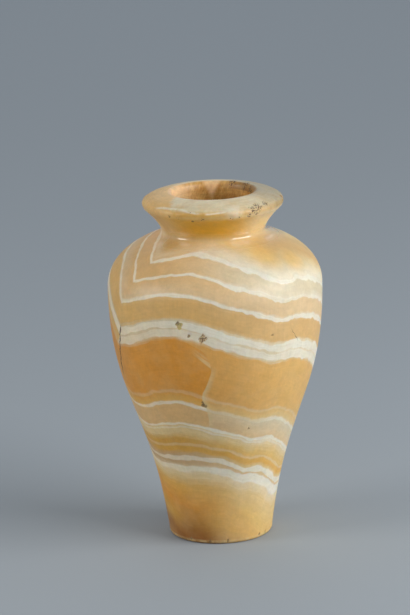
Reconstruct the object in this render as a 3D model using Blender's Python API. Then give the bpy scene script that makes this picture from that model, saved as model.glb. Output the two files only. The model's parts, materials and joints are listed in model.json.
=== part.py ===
"""Alabaster vase: a wide-shouldered stone jar with a short neck and a domed lip, drilled hollow.

It is one carved piece. Metres, +Z up. The origin is on the surface that the vase stands on,
under the middle of its widest ring.
"""

import math

import bmesh
import bpy
from mathutils import Vector
from mathutils.geometry import interpolate_bezier

# Overall height, from the foot's underside to the crest of the lip
HEIGHT = 0.275

# Foot: a flat disc with a softened edge
FOOT_RADIUS = 0.0408
FOOT_EDGE = 0.0030

# Body: the wall swells from the foot to the widest ring, then the shoulder turns in to the neck
GIRTH_RADIUS = 0.0838
GIRTH_BELOW_ROOT = 0.0405
WALL_START_SLOPE = 0.13
SHOULDER_END_SLOPE = 0.34

# Neck: a drilled bore, the stone around it, and the hollow curve up to the lip
BORE_RADIUS = 0.0312
NECK_STONE = 0.0096
NECK_LENGTH = 0.0340
ROOT_SPREAD = 0.0048
ROOT_RISE = 0.0037

# Lip: a disc that overhangs the neck and falls away from the mouth to a rounded edge
LIP_OVERHANG = 0.0143
LIP_EDGE_HEIGHT = 0.0078
LIP_FALL = 0.0048
LIP_EDGE_ROUND = 0.0026
MOUTH_ROUND = 0.0042

# Hollow: the wall left by the drill, the floor, and the rounded corner between them
WALL = 0.0090
FLOOR = 0.0160
FLOOR_CORNER = 0.0120
THROAT_ROUND = 0.0050

# Turned by eye: the neck stands this far to one side of the foot
LEAN = 0.0016

# Handles of the long curves, as shares of the stretch that each one crosses
WALL_LOW_HANDLE = 0.53
WALL_HIGH_HANDLE = 0.45
SHOULDER_LOW_HANDLE = 0.54
SHOULDER_HIGH_HANDLE = 0.48
CORNER_HANDLE = 0.6
FLARE_LOW_HANDLE = 0.3
FLARE_HIGH_HANDLE = 0.2
FLARE_OUT_HANDLE = 0.6
DOME_HANDLE = 0.25
DOME_RISE = 0.6

# Facets: round the axis, and along each stretch of the section
SEGMENTS = 72
WALL_STEPS = 13
SHOULDER_STEPS = 9
FLARE_STEPS = 6
ROUND_STEPS = 3
DOME_STEPS = 4
INNER_WALL_STEPS = 9
INNER_SHOULDER_STEPS = 6

# Spun points nearer than this are one point, rings nearer than this in height are one ring,
# and an edge that turns more than this is shaded sharp
SAME_POINT = 0.000001
SAME_HEIGHT = 0.002
SHARP_TURN = math.radians(50)

# Places that follow from the sizes
ROOT_HEIGHT = HEIGHT - NECK_LENGTH
GIRTH_HEIGHT = ROOT_HEIGHT - GIRTH_BELOW_ROOT
NECK_RADIUS = BORE_RADIUS + NECK_STONE
ROOT_RADIUS = NECK_RADIUS + ROOT_SPREAD
LIP_RADIUS = NECK_RADIUS + LIP_OVERHANG
LIP_TOP_EDGE = HEIGHT - LIP_FALL
LIP_UNDERSIDE = LIP_TOP_EDGE - LIP_EDGE_HEIGHT
WALL_BOTTOM = (FOOT_RADIUS, FOOT_EDGE)
WIDEST = (GIRTH_RADIUS, GIRTH_HEIGHT)
NECK_ROOT = (ROOT_RADIUS, ROOT_HEIGHT)
NECK_WAIST = (NECK_RADIUS, ROOT_HEIGHT + ROOT_RISE)
LIP_START = (LIP_RADIUS - LIP_EDGE_ROUND * CORNER_HANDLE, LIP_UNDERSIDE)

# Colour of the honey bands, which fill most of the stone
HONEY = (0.72, 0.46, 0.19, 1.0)
POLISH_ROUGHNESS = 0.32


def curve(start, start_handle, end_handle, end, steps):
    """Points of one Bezier stretch in the plane of radius and height, without its first point."""
    knots = [Vector(p) for p in (start, start_handle, end_handle, end)]
    return [tuple(p) for p in interpolate_bezier(*knots, steps + 1)[1:]]


def corner(start, apex, end, steps):
    """A rounded corner from start to end whose sides would meet at apex."""
    start_handle = Vector(start).lerp(Vector(apex), CORNER_HANDLE)
    end_handle = Vector(end).lerp(Vector(apex), CORNER_HANDLE)
    return curve(start, start_handle, end_handle, end, steps)


def foot_outline():
    """The underside, from the axis to the start of the wall."""
    flat_end = (FOOT_RADIUS - FOOT_EDGE, 0.0)
    apex = (FOOT_RADIUS - FOOT_EDGE * WALL_START_SLOPE, 0.0)
    return [(0.0, 0.0), flat_end] + corner(flat_end, apex, WALL_BOTTOM, ROUND_STEPS)


def wall_outline(steps):
    """The long swelling wall, from the foot's edge to the widest ring."""
    rise = GIRTH_HEIGHT - FOOT_EDGE
    low = rise * WALL_LOW_HANDLE
    high = rise * WALL_HIGH_HANDLE
    start_handle = (FOOT_RADIUS + low * WALL_START_SLOPE, FOOT_EDGE + low)
    end_handle = (GIRTH_RADIUS, GIRTH_HEIGHT - high)
    return curve(WALL_BOTTOM, start_handle, end_handle, WIDEST, steps)


def shoulder_outline(steps):
    """The round shoulder, from the widest ring in to the root of the neck."""
    inward = (GIRTH_RADIUS - ROOT_RADIUS) * SHOULDER_HIGH_HANDLE
    start_handle = (GIRTH_RADIUS, GIRTH_HEIGHT + GIRTH_BELOW_ROOT * SHOULDER_LOW_HANDLE)
    end_handle = (ROOT_RADIUS + inward, ROOT_HEIGHT - inward * SHOULDER_END_SLOPE)
    return curve(WIDEST, start_handle, end_handle, NECK_ROOT, steps)


def neck_outline():
    """The hollow of the neck, from its root to the underside of the lip."""
    fillet_apex = (NECK_RADIUS, ROOT_HEIGHT + ROOT_SPREAD * SHOULDER_END_SLOPE)
    flare = LIP_UNDERSIDE - NECK_WAIST[1]
    start_handle = (NECK_RADIUS, NECK_WAIST[1] + flare * FLARE_LOW_HANDLE)
    reach = LIP_OVERHANG * FLARE_OUT_HANDLE
    end_handle = (NECK_RADIUS + reach, LIP_UNDERSIDE - flare * FLARE_HIGH_HANDLE)
    fillet = corner(NECK_ROOT, fillet_apex, NECK_WAIST, ROUND_STEPS)
    return fillet + curve(NECK_WAIST, start_handle, end_handle, LIP_START, FLARE_STEPS)


def lip_outline():
    """The lip's rounded edge, its domed top and the rounded mouth."""
    edge_middle = (LIP_RADIUS, LIP_UNDERSIDE + LIP_EDGE_HEIGHT / 2)
    top_start = (LIP_RADIUS - LIP_EDGE_ROUND, LIP_TOP_EDGE)
    crest = (BORE_RADIUS + MOUTH_ROUND, HEIGHT)
    bore_start = (BORE_RADIUS, HEIGHT - MOUTH_ROUND)
    reach = (top_start[0] - crest[0]) * DOME_HANDLE
    start_handle = (top_start[0] - reach, LIP_TOP_EDGE + LIP_FALL * DOME_RISE)
    end_handle = (crest[0] + reach, HEIGHT)
    edge = corner(LIP_START, (LIP_RADIUS, LIP_UNDERSIDE + LIP_EDGE_ROUND / 2), edge_middle, ROUND_STEPS)
    edge += corner(edge_middle, (LIP_RADIUS, LIP_TOP_EDGE - LIP_EDGE_ROUND / 2), top_start, ROUND_STEPS)
    dome = curve(top_start, start_handle, end_handle, crest, DOME_STEPS)
    return edge + dome + corner(crest, (BORE_RADIUS, HEIGHT), bore_start, ROUND_STEPS)


def set_in(outline, depth):
    """The outline moved square to itself, into the stone, by depth."""
    inner = []
    for before, here, after in zip(outline, outline[1:], outline[2:]):
        along = Vector(after) - Vector(before)
        inward = Vector((-along.y, along.x)).normalized()
        inner.append(tuple(Vector(here) + inward * depth))
    return inner


def radius_at(outline, height):
    """Where a rising outline stands at this height."""
    for below, above in zip(outline, outline[1:]):
        if below[1] <= height <= above[1]:
            share = (height - below[1]) / (above[1] - below[1])
            return below[0] + (above[0] - below[0]) * share
    return outline[0][0]


def hollow_outline():
    """The drilled inside, from the bore down to the middle of the floor."""
    outside = [WALL_BOTTOM] + wall_outline(INNER_WALL_STEPS) + shoulder_outline(INNER_SHOULDER_STEPS)
    skin = set_in(outside, WALL)
    ceiling_end = skin[-1]
    throat_height = ceiling_end[1] + (ceiling_end[0] - BORE_RADIUS) * SHOULDER_END_SLOPE
    bore_end = (BORE_RADIUS, throat_height + THROAT_ROUND)
    throat = [bore_end] + corner(bore_end, (BORE_RADIUS, throat_height), ceiling_end, ROUND_STEPS)
    corner_height = FLOOR + FLOOR_CORNER
    wall_foot = (radius_at(skin, corner_height), corner_height)
    above_foot = [p for p in reversed(skin[:-1]) if p[1] > corner_height + SAME_HEIGHT]
    apex = (radius_at(skin, corner_height) - FLOOR_CORNER * WALL_START_SLOPE, FLOOR)
    floor_edge = (apex[0] - FLOOR_CORNER, FLOOR)
    floor = [wall_foot] + corner(wall_foot, apex, floor_edge, ROUND_STEPS)
    return throat + above_foot + floor + [(0.0, FLOOR)]


def outline():
    """The whole section of one side, from the axis under the foot round to the axis on the floor."""
    outside = foot_outline() + wall_outline(WALL_STEPS) + shoulder_outline(SHOULDER_STEPS)
    return outside + neck_outline() + lip_outline() + hollow_outline()


def spun(section):
    """A closed surface: the section turned once round the Z axis."""
    mesh = bmesh.new()
    points = [mesh.verts.new((radius, 0.0, height)) for radius, height in section]
    edges = [mesh.edges.new(pair) for pair in zip(points, points[1:])]
    bmesh.ops.spin(
        mesh,
        geom=points + edges,
        cent=(0.0, 0.0, 0.0),
        axis=(0.0, 0.0, 1.0),
        angle=2 * math.pi,
        steps=SEGMENTS,
        use_merge=True,
    )
    bmesh.ops.remove_doubles(mesh, verts=mesh.verts, dist=SAME_POINT)
    bmesh.ops.recalc_face_normals(mesh, faces=mesh.faces)
    return mesh


def sideways(height):
    """How far a ring of stone at this height stands from the origin's axis."""
    return LEAN * (min(height, ROOT_HEIGHT) - GIRTH_HEIGHT) / ROOT_HEIGHT


def lean_over(mesh):
    """Moves each ring sideways as the hand-turned stone does. The widest ring stays centred."""
    for vertex in mesh.verts:
        vertex.co.x += sideways(vertex.co.z)


def alabaster():
    """Polished honey-coloured calcite."""
    stone = bpy.data.materials.new("alabaster")
    stone.use_nodes = True
    shader = stone.node_tree.nodes["Principled BSDF"]
    shader.inputs["Base Color"].default_value = HONEY
    shader.inputs["Roughness"].default_value = POLISH_ROUGHNESS
    shader.inputs["Metallic"].default_value = 0.0
    return stone


def make_vase():
    """The vase as one object, shaded smooth apart from its sharper turns."""
    solid = spun(outline())
    lean_over(solid)
    data = bpy.data.meshes.new("vase")
    solid.to_mesh(data)
    solid.free()
    data.shade_smooth()
    data.set_sharp_from_angle(angle=SHARP_TURN)
    data.materials.append(alabaster())
    vase = bpy.data.objects.new("vase", data)
    bpy.context.scene.collection.objects.link(vase)
    return vase


def main():
    for old in list(bpy.data.objects):
        bpy.data.objects.remove(old)
    make_vase()


main()
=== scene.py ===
# %% [markdown]
# # An alabaster jar cut through folded layers
#
# The real object is one piece of banded calcite: an ancient jar with wide shoulders, a short neck and
# a domed lip, drilled hollow and rubbed smooth. Nothing is painted on it. What looks like a pattern is
# the stone's own layering, laid down as flat sheets, then bent. The model follows that order: first the
# shape is turned, then one field says how deep in the stone's layering each point lies, and every
# colour is read from that field.
#
# The frame is the measured solid of the jar. It is loaded first.

# %% The frame
import json
import math
import random
from functools import partial

import bpy
from mathutils import Matrix, Vector
from mathutils.geometry import interpolate_bezier

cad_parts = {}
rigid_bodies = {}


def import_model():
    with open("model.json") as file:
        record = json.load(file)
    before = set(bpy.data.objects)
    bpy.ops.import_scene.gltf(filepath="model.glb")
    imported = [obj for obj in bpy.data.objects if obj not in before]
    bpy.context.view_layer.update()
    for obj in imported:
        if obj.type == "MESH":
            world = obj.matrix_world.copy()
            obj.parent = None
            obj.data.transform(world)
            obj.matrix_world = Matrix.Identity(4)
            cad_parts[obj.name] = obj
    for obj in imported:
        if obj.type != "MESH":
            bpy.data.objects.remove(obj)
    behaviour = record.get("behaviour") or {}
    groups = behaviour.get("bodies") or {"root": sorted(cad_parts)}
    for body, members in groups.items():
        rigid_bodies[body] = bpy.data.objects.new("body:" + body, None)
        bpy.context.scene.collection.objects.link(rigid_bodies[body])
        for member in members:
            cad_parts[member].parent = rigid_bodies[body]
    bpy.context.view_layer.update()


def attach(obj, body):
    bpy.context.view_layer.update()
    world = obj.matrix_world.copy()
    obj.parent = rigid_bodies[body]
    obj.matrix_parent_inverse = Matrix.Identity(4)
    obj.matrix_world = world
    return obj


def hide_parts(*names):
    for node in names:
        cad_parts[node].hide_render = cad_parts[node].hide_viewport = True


for leftover in list(bpy.data.objects):
    bpy.data.objects.remove(leftover)

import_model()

# %% [markdown]
# ## The camera
#
# A museum photographer stands a little above the shoulder of the jar and uses a long lens, so that the
# lip shows as a thin ellipse and the foot hardly widens. The camera could be aimed at the jar with a
# constraint, but plain numbers for its place, its downward tilt and its small roll are easier to check.

# %% The camera
CAMERA_PLACE = (-0.00835, -2.42726, 0.80734)
CAMERA_TILT_DOWN = math.radians(14.466)
CAMERA_ROLL = math.radians(-1.897)
CAMERA_LENS = 188.17


def shown(name, data):
    """A new object with this data, in the scene."""
    made = bpy.data.objects.new(name, data)
    bpy.context.scene.collection.objects.link(made)
    return made


camera_data = bpy.data.cameras.new("camera")
camera_data.lens = CAMERA_LENS
camera = shown("camera", camera_data)
tilt = Matrix.Rotation(math.pi / 2 - CAMERA_TILT_DOWN, 4, "X")
roll = Matrix.Rotation(CAMERA_ROLL, 4, "Z")
camera.matrix_world = Matrix.Translation(CAMERA_PLACE) @ tilt @ roll
bpy.context.scene.camera = camera
print("camera:", CAMERA_LENS, "mm lens,", round(Vector(CAMERA_PLACE).length, 2), "m from the origin")

# %% [markdown]
# ## Floor and light
#
# The jar stands on plain pale paper under soft studio light. One wide lamp from the upper right gives
# the shoulder its glow, a weak one from the left keeps the shaded side readable, and a faint one
# lights the paper far behind. Area lamps are used because their soft edges suit a waxy stone: a point
# lamp would leave a hard spot.
# Colours go to the screen unchanged.


# %% Floor and light
def area_lamp(name, place, aim, width, tall, power, colour):
    """An area lamp at place that faces the point aim."""
    data = bpy.data.lights.new(name, "AREA")
    data.shape = "RECTANGLE"
    data.size = width
    data.size_y = tall
    data.energy = power
    data.color = colour
    lamp = shown(name, data)
    facing = (Vector(aim) - Vector(place)).to_track_quat("-Z", "Y")
    lamp.matrix_world = Matrix.Translation(place) @ facing.to_matrix().to_4x4()


FLOOR_REACH = 14.0
PAPER = (0.325, 0.365, 0.405, 1.0)
PAPER_ROUGHNESS = 0.9
SKY = (0.80, 0.86, 0.92, 1.0)
SKY_STRENGTH = 0.44
JAR_MIDDLE = (0.0, 0.0, 0.15)

paper = bpy.data.materials.new("pale paper")
paper.use_nodes = True
paper_shader = paper.node_tree.nodes["Principled BSDF"]
paper_shader.inputs["Base Color"].default_value = PAPER
paper_shader.inputs["Roughness"].default_value = PAPER_ROUGHNESS

floor_data = bpy.data.meshes.new("floor")
floor_corners = [(x * FLOOR_REACH, y * FLOOR_REACH, 0) for x, y in ((-1, -1), (1, -1), (1, 1), (-1, 1))]
floor_data.from_pydata(floor_corners, [], [(0, 1, 2, 3)])
floor_data.materials.append(paper)
floor = shown("floor", floor_data)

# Name, place and aim in metres, width and height in metres, watts, colour
LAMPS = [
    ("wide lamp", (1.73, -0.79, 0.94), JAR_MIDDLE, 1.7, 1.1, 40.5, (1.0, 0.98, 0.95)),
    ("weak lamp", (-1.91, -0.58, 0.85), JAR_MIDDLE, 0.9, 0.6, 16.8, (1.0, 0.94, 0.85)),
    ("backdrop lamp", (0.0, 2.9, 1.9), (0.0, 1.9, 0.0), 1.8, 1.8, 8.0, (1.0, 1.0, 1.0)),
]
for numbers in LAMPS:
    area_lamp(*numbers)

world = bpy.context.scene.world or bpy.data.worlds.new("studio")
bpy.context.scene.world = world
world.use_nodes = True
backdrop = world.node_tree.nodes["Background"]
backdrop.inputs["Color"].default_value = SKY
backdrop.inputs["Strength"].default_value = SKY_STRENGTH
bpy.context.scene.view_settings.view_transform = "Standard"
print("floor", 2 * FLOOR_REACH, "m wide,", len(LAMPS), "lamps")

# %% [markdown]
# ## The section
#
# A stone jar of this kind was shaped by eye and finished with rubbing stones, and its section is a
# few long curves: a flat foot, a wall that swells to the widest ring, a round shoulder, a hollow
# neck and a lip like a shallow dome. The inside follows at the drill's wall thickness. The section
# could be drawn as a curve object, but a list of points, with its own number of steps for each
# stretch, puts more rings where the lip turns sharply and fewer where nobody can look.

# %% Sizes, in metres
HEIGHT = 0.275
FOOT_RADIUS = 0.0408
FOOT_EDGE = 0.0030
GIRTH_RADIUS = 0.0838
GIRTH_BELOW_ROOT = 0.0405
WALL_START_SLOPE = 0.13
SHOULDER_END_SLOPE = 0.34
BORE_RADIUS = 0.0312
NECK_STONE = 0.0096
NECK_LENGTH = 0.0340
ROOT_SPREAD = 0.0048
ROOT_RISE = 0.0037
LIP_OVERHANG = 0.0143
LIP_EDGE_HEIGHT = 0.0078
LIP_FALL = 0.0048
LIP_EDGE_ROUND = 0.0026
MOUTH_ROUND = 0.0042
WALL = 0.0090
FLOOR = 0.0160
FLOOR_CORNER = 0.0120
THROAT_ROUND = 0.0050
LEAN = 0.0016

ROOT_HEIGHT = HEIGHT - NECK_LENGTH
GIRTH_HEIGHT = ROOT_HEIGHT - GIRTH_BELOW_ROOT
NECK_RADIUS = BORE_RADIUS + NECK_STONE
ROOT_RADIUS = NECK_RADIUS + ROOT_SPREAD
LIP_RADIUS = NECK_RADIUS + LIP_OVERHANG
LIP_TOP_EDGE = HEIGHT - LIP_FALL
LIP_UNDERSIDE = LIP_TOP_EDGE - LIP_EDGE_HEIGHT
CORNER_HANDLE = 0.6
print("neck root at", round(ROOT_HEIGHT, 4), "m, widest ring at", round(GIRTH_HEIGHT, 4), "m")


# %% The section's stretches
def stretch(start, start_handle, end_handle, end, steps):
    """Points of one Bezier stretch in the plane of radius and height, without its first point."""
    knots = [Vector(point) for point in (start, start_handle, end_handle, end)]
    return [tuple(point) for point in interpolate_bezier(*knots, steps + 1)[1:]]


def rounded(start, apex, end, steps):
    """A rounded corner from start to end whose sides would meet at apex."""
    start_handle = Vector(start).lerp(Vector(apex), CORNER_HANDLE)
    end_handle = Vector(end).lerp(Vector(apex), CORNER_HANDLE)
    return stretch(start, start_handle, end_handle, end, steps)


def straight(start, end, steps):
    """Evenly spaced points on the way from start to end, without the first."""
    return [tuple(Vector(start).lerp(Vector(end), step / steps)) for step in range(1, steps + 1)]


def foot_line():
    """The flat underside and its softened edge."""
    middle = (0.0, 0.0)
    flat_end = (FOOT_RADIUS - FOOT_EDGE, 0.0)
    apex = (FOOT_RADIUS - FOOT_EDGE * WALL_START_SLOPE, 0.0)
    edge = rounded(flat_end, apex, (FOOT_RADIUS, FOOT_EDGE), 4)
    return [middle] + straight(middle, flat_end, 6) + edge


def wall_line(steps):
    """The long swelling wall, up to the widest ring."""
    rise = GIRTH_HEIGHT - FOOT_EDGE
    low = rise * 0.53
    high = rise * 0.45
    start_handle = (FOOT_RADIUS + low * WALL_START_SLOPE, FOOT_EDGE + low)
    end_handle = (GIRTH_RADIUS, GIRTH_HEIGHT - high)
    widest = (GIRTH_RADIUS, GIRTH_HEIGHT)
    return stretch((FOOT_RADIUS, FOOT_EDGE), start_handle, end_handle, widest, steps)


def shoulder_line(steps):
    """The round shoulder, in to the root of the neck."""
    inward = (GIRTH_RADIUS - ROOT_RADIUS) * 0.48
    start_handle = (GIRTH_RADIUS, GIRTH_HEIGHT + GIRTH_BELOW_ROOT * 0.54)
    end_handle = (ROOT_RADIUS + inward, ROOT_HEIGHT - inward * SHOULDER_END_SLOPE)
    root = (ROOT_RADIUS, ROOT_HEIGHT)
    return stretch((GIRTH_RADIUS, GIRTH_HEIGHT), start_handle, end_handle, root, steps)


def neck_line():
    """The fillet at the neck's root and the hollow of the neck."""
    root = (ROOT_RADIUS, ROOT_HEIGHT)
    waist = (NECK_RADIUS, ROOT_HEIGHT + ROOT_RISE)
    apex = (NECK_RADIUS, ROOT_HEIGHT + ROOT_SPREAD * SHOULDER_END_SLOPE)
    flare = LIP_UNDERSIDE - waist[1]
    start_handle = (NECK_RADIUS, waist[1] + flare * 0.3)
    end_handle = (NECK_RADIUS + LIP_OVERHANG * 0.6, LIP_UNDERSIDE - flare * 0.2)
    lip_start = (LIP_RADIUS - LIP_EDGE_ROUND * CORNER_HANDLE, LIP_UNDERSIDE)
    return rounded(root, apex, waist, 5) + stretch(waist, start_handle, end_handle, lip_start, 17)


def lip_line():
    """The lip's rounded edge, its domed top and the rounded mouth."""
    start = (LIP_RADIUS - LIP_EDGE_ROUND * CORNER_HANDLE, LIP_UNDERSIDE)
    middle = (LIP_RADIUS, LIP_UNDERSIDE + LIP_EDGE_HEIGHT / 2)
    top = (LIP_RADIUS - LIP_EDGE_ROUND, LIP_TOP_EDGE)
    crest = (BORE_RADIUS + MOUTH_ROUND, HEIGHT)
    reach = (top[0] - crest[0]) * 0.25
    line = rounded(start, (LIP_RADIUS, LIP_UNDERSIDE + LIP_EDGE_ROUND / 2), middle, 5)
    line += rounded(middle, (LIP_RADIUS, LIP_TOP_EDGE - LIP_EDGE_ROUND / 2), top, 5)
    start_handle = (top[0] - reach, LIP_TOP_EDGE + LIP_FALL * 0.6)
    line += stretch(top, start_handle, (crest[0] + reach, HEIGHT), crest, 14)
    return line + rounded(crest, (BORE_RADIUS, HEIGHT), (BORE_RADIUS, HEIGHT - MOUTH_ROUND), 6)


def hollow_line():
    """The drilled inside, from the bore down to the middle of the floor."""
    outside = [(FOOT_RADIUS, FOOT_EDGE)] + wall_line(22) + shoulder_line(10)
    skin = []
    for before, here, after in zip(outside, outside[1:], outside[2:]):
        along = Vector(after) - Vector(before)
        skin.append(tuple(Vector(here) + Vector((-along.y, along.x)).normalized() * WALL))
    ceiling_end = skin[-1]
    throat = ceiling_end[1] + (ceiling_end[0] - BORE_RADIUS) * SHOULDER_END_SLOPE
    bore_end = (BORE_RADIUS, throat + THROAT_ROUND)
    line = straight((BORE_RADIUS, HEIGHT - MOUTH_ROUND), bore_end, 20)
    line += rounded(bore_end, (BORE_RADIUS, throat), ceiling_end, 4)
    corner_top = [point for point in skin if point[1] > FLOOR + FLOOR_CORNER][0]
    line += [point for point in reversed(skin[:-1]) if point[1] >= corner_top[1]]
    apex = (corner_top[0] - FLOOR_CORNER * WALL_START_SLOPE, FLOOR)
    floor_edge = (apex[0] - FLOOR_CORNER, FLOOR)
    line += rounded(corner_top, apex, floor_edge, 4)
    return line + straight(floor_edge, (0.0, FLOOR), 3)


outer_line = foot_line() + wall_line(130) + shoulder_line(44) + neck_line() + lip_line()
section = outer_line + hollow_line()
section_data = bpy.data.meshes.new("section")
section_points = [(radius, 0.0, height) for radius, height in section]
section_data.from_pydata(section_points, [(at, at + 1) for at in range(len(section) - 1)], [])
print(len(section), "rings,", len(outer_line), "of them outside")

# %% [markdown]
# ## Marks of age
#
# The jar has been in the ground. There is a three-cornered pit and a cluster of small ones in the
# thickest white layer, a few lone pinholes, small chips round the lip and nicks on the foot's edge.
# Each could be cut with a boolean, but that leaves a new mesh for every pit. Here each mark is one
# loose point with a reach and a depth, and the tree that makes the jar presses the surface in near it.
# Places are given as a maker would find them: degrees round from the front, and a height in mm.


# %% Where the marks are
def outside_radius(height):
    """The outside's radius at this height, in metres, below the lip's crest."""
    for below, above in zip(outer_line[10:], outer_line[11:]):
        if below[1] <= height <= above[1]:
            share = (height - below[1]) / (above[1] - below[1])
            return below[0] + (above[0] - below[0]) * share
    return FOOT_RADIUS


def sideways(height):
    """How far a ring at this height stands from the origin's axis: the jar was trued by eye."""
    return LEAN * (min(height, ROOT_HEIGHT) - GIRTH_HEIGHT) / ROOT_HEIGHT


def round_axis(azimuth, radius, height_mm):
    """The point at this azimuth, in degrees from the front, this far from the axis, in metres."""
    height = height_mm / 1000
    turn = math.radians(azimuth)
    return (radius * math.sin(turn) + sideways(height), -radius * math.cos(turn), height)


def on_skin(azimuth, height_mm):
    """The point of the outside at this azimuth and height."""
    return round_axis(azimuth, outside_radius(height_mm / 1000), height_mm)


# Azimuth, height in mm, reach in mm, depth in mm
MARKS = [
    ("three-cornered pit, left", -20.8, 189.1, 2.3, 0.9),
    ("three-cornered pit, right", -19.1, 188.4, 2.3, 0.9),
    ("three-cornered pit, foot", -19.9, 186.3, 2.3, 0.9),
    ("round pit", -14.8, 180.3, 1.8, 0.7),
    ("cluster, top", -7.3, 179.7, 2.4, 0.7),
    ("cluster, left", -8.6, 178.0, 2.4, 0.7),
    ("cluster, right", -6.4, 177.6, 2.4, 0.7),
    ("cluster, foot", -8.5, 176.1, 2.4, 0.7),
    ("pinhole at the healed break", -9.4, 122.2, 2.0, 1.2),
    ("pinhole beside it", -7.6, 121.0, 1.5, 0.7),
    ("pinhole over it", -9.8, 125.0, 1.4, 0.6),
    ("pinhole on the right", 30.8, 176.8, 1.4, 0.7),
    ("pinhole low right", 21.0, 100.0, 1.3, 0.6),
    ("dot under the lip", -17.8, 261.0, 1.7, 0.8),
]

# Chips lie where the front doesn't show them, nicks all round. Heights, reaches and depths in mm
CHIPS = 9
NICKS = 12
CHIP_AZIMUTHS = (75, 305)
CHIP_HEIGHTS = (263.5, 269.5)
NICK_HEIGHTS = (1.4, 3.0)
SMALL_REACHES = (1.0, 2.0)
CHIP_DEPTH = 0.5
NICK_DEPTH = 0.45
chance = random.Random(11)
for kind, count, turns, heights, depth in (
    ("lip chip", CHIPS, CHIP_AZIMUTHS, CHIP_HEIGHTS, CHIP_DEPTH),
    ("foot nick", NICKS, (-180, 180), NICK_HEIGHTS, NICK_DEPTH),
):
    for number in range(count):
        numbers = [chance.uniform(*span) for span in (turns, heights, SMALL_REACHES)]
        MARKS.append((f"{kind} {number}", *numbers, depth))

marks_data = bpy.data.meshes.new("marks")
marks_data.from_pydata([on_skin(azimuth, height) for name, azimuth, height, reach, depth in MARKS], [], [])
reaches = marks_data.attributes.new("reach", "FLOAT", "POINT")
depths = marks_data.attributes.new("depth", "FLOAT", "POINT")
for at, (name, azimuth, height, reach, depth) in enumerate(MARKS):
    reaches.data[at].value = reach / 1000
    depths.data[at].value = depth / 1000
marks = shown("marks", marks_data)
print(len(MARKS), "marks")

# %% [markdown]
# ## Helpers for node trees
#
# Both the shape and the finishes are node trees, and a tree is much easier to read as short lines
# that say what is fed by what. Every helper works on the tree in hand: one adds a node and feeds it,
# one does sums, and one opens a new group with its named inputs and outputs.


# %% Helpers for node trees
class Bench:
    """Holds the node tree in hand, to which the helpers below add their nodes."""

    tree = None


def fill(socket, value):
    """Feeds an input with a value, or with another node's socket."""
    if isinstance(value, bpy.types.NodeSocket):
        Bench.tree.links.new(value, socket)
    else:
        socket.default_value = value


def place(kind, fed=None, **settings):
    """Adds a node, sets it up and feeds its inputs."""
    node = Bench.tree.nodes.new(kind)
    for name, value in settings.items():
        setattr(node, name, value)
    for key, value in (fed or {}).items():
        fill(node.inputs[key], value)
    return node


def reckon(operation, *values):
    """One sum on numbers or sockets, and its result."""
    return place("ShaderNodeMath", dict(enumerate(values)), operation=operation).outputs[0]


# The sums used most have names of their own
plus = partial(reckon, "ADD")
minus = partial(reckon, "SUBTRACT")
over = partial(reckon, "DIVIDE")
times_plus = partial(reckon, "MULTIPLY_ADD")
higher = partial(reckon, "MAXIMUM")


def times(first, *others):
    """All these numbers multiplied together."""
    for other in others:
        first = reckon("MULTIPLY", first, other)
    return first


def between(share, start, end):
    """The number that lies this share of the way from start to end."""
    return times_plus(share, minus(end, start), start)


def eased(value, low, high, start=0.0, end=1.0):
    """A smooth change from start to end while value goes from low to high."""
    fed = {"Value": value, "From Min": low, "From Max": high, "To Min": start, "To Max": end}
    return place("ShaderNodeMapRange", fed, interpolation_type="SMOOTHSTEP").outputs[0]


def within(value, rise, full, fade, gone):
    """1 while value is between full and fade, easing to 0 at rise and at gone."""
    return times(eased(value, rise, full), eased(value, fade, gone, 1.0, 0.0))


def off_from(value, middle):
    """How far value is from middle, either way."""
    return reckon("ABSOLUTE", minus(value, middle))


def hump(share):
    """A bell curve: 1 where share is 0, and near 0 where it is 2 either way."""
    return reckon("EXPONENT", times(share, share, -1.0))


def noise(vector, scale, detail, rough=0.5):
    """Three-dimensional noise, as a number between 0 and 1."""
    fed = {"Vector": vector, "Scale": scale, "Detail": detail, "Roughness": rough}
    return place("ShaderNodeTexNoise", fed).outputs[0]


def swing(*numbers):
    """The same noise, as a number between -0.5 and 0.5."""
    return minus(noise(*numbers), 0.5)


def on_vectors(operation, *vectors):
    """One sum on vectors, and its results."""
    return place("ShaderNodeVectorMath", dict(enumerate(vectors)), operation=operation).outputs


def scaled(vector, amount):
    """A vector, or a colour, times a number."""
    return place("ShaderNodeVectorMath", {0: vector, "Scale": amount}, operation="SCALE").outputs[0]


def point_at(x=0.0, y=0.0, z=0.0):
    """A vector from its three numbers."""
    return place("ShaderNodeCombineXYZ", {0: x, 1: y, 2: z}).outputs[0]


def mixed(share, first, second):
    """A colour this share of the way from the first to the second."""
    return place("ShaderNodeMix", {"Factor": share, 6: first, 7: second}, data_type="RGBA").outputs[2]


def grouped(group, fed):
    """Places a node group, feeds its named inputs and gives its outputs."""
    return place("ShaderNodeGroup", fed, node_tree=group).outputs


def open_group(name, kind, inputs, outputs):
    """Takes in hand a new node group. Each socket is given by its kind, or by the number it starts with."""
    group = bpy.data.node_groups.new(name, kind)
    for direction, sockets in (("INPUT", inputs), ("OUTPUT", outputs)):
        for label, value in sockets.items():
            is_number = not isinstance(value, str)
            socket_kind = "NodeSocket" + (type(value).__name__.capitalize() if is_number else value)
            socket = group.interface.new_socket(label, in_out=direction, socket_type=socket_kind)
            if is_number:
                socket.default_value = value
    Bench.tree = group
    given = group.nodes.new("NodeGroupInput").outputs
    result = group.nodes.new("NodeGroupOutput").inputs
    return group, given, result


def tell(name):
    """Prints how many nodes the tree in hand has."""
    print(name + ":", len(Bench.tree.nodes), "nodes")


print("helpers ready")

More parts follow.
